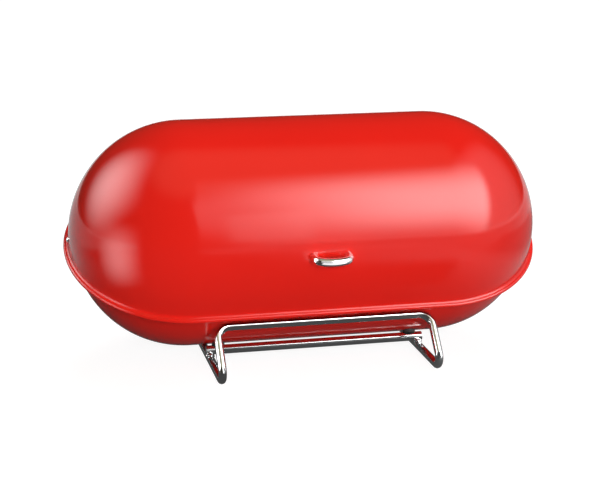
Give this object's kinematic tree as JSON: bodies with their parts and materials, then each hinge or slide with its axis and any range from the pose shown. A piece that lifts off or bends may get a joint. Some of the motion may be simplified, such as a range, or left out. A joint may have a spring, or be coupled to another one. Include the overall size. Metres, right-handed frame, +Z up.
{
  "type": "capsule bread bin",
  "caption": "Capsule-shaped red enamelled steel bread bin with a swing-back lid on end pivots, a chrome bow handle and a bent chrome wire stand.",
  "frame": {"origin": "on the table, straight below the middle of the axis that the lid turns on", "axes": "+X along the bin to the right as seen from the front, -Y towards the front with the handle, +Z up"},
  "size_m": [0.42, 0.2274, 0.2026],
  "materials": {
    "red_enamel": "gloss enamel on sheet steel",
    "chrome": "bright plated",
    "steel": "plain zinc plated",
    "white_plastic": "moulded",
    "black_rubber": "moulded, matt"
  },
  "bodies": {
    "base": {"bowl": "red_enamel", "stand_frame": "chrome", "front_cross_rod": "chrome", "rear_cross_rod": "chrome", "rod_welds": "chrome", "left_pivot_rivet": "chrome", "right_pivot_rivet": "chrome", "left_pivot_spacer": "white_plastic", "right_pivot_spacer": "white_plastic", "left_pivot_washer": "steel", "right_pivot_washer": "steel", "bowl_pads": "black_rubber", "bowl_screws": "steel", "bowl_washers": "steel"},
    "lid": {"lid": "red_enamel", "lid_handle": "chrome", "handle_screws": "steel", "handle_washers": "black_rubber", "lid_buffers": "black_rubber"}
  },
  "joints": [
    {"name": "lid_pivot", "type": "hinge", "parent": "base", "child": "lid", "pos_m": [0, 0, 0.1036], "axis": [-1, 0, 0], "range_deg": [0, 79]}
  ]
}
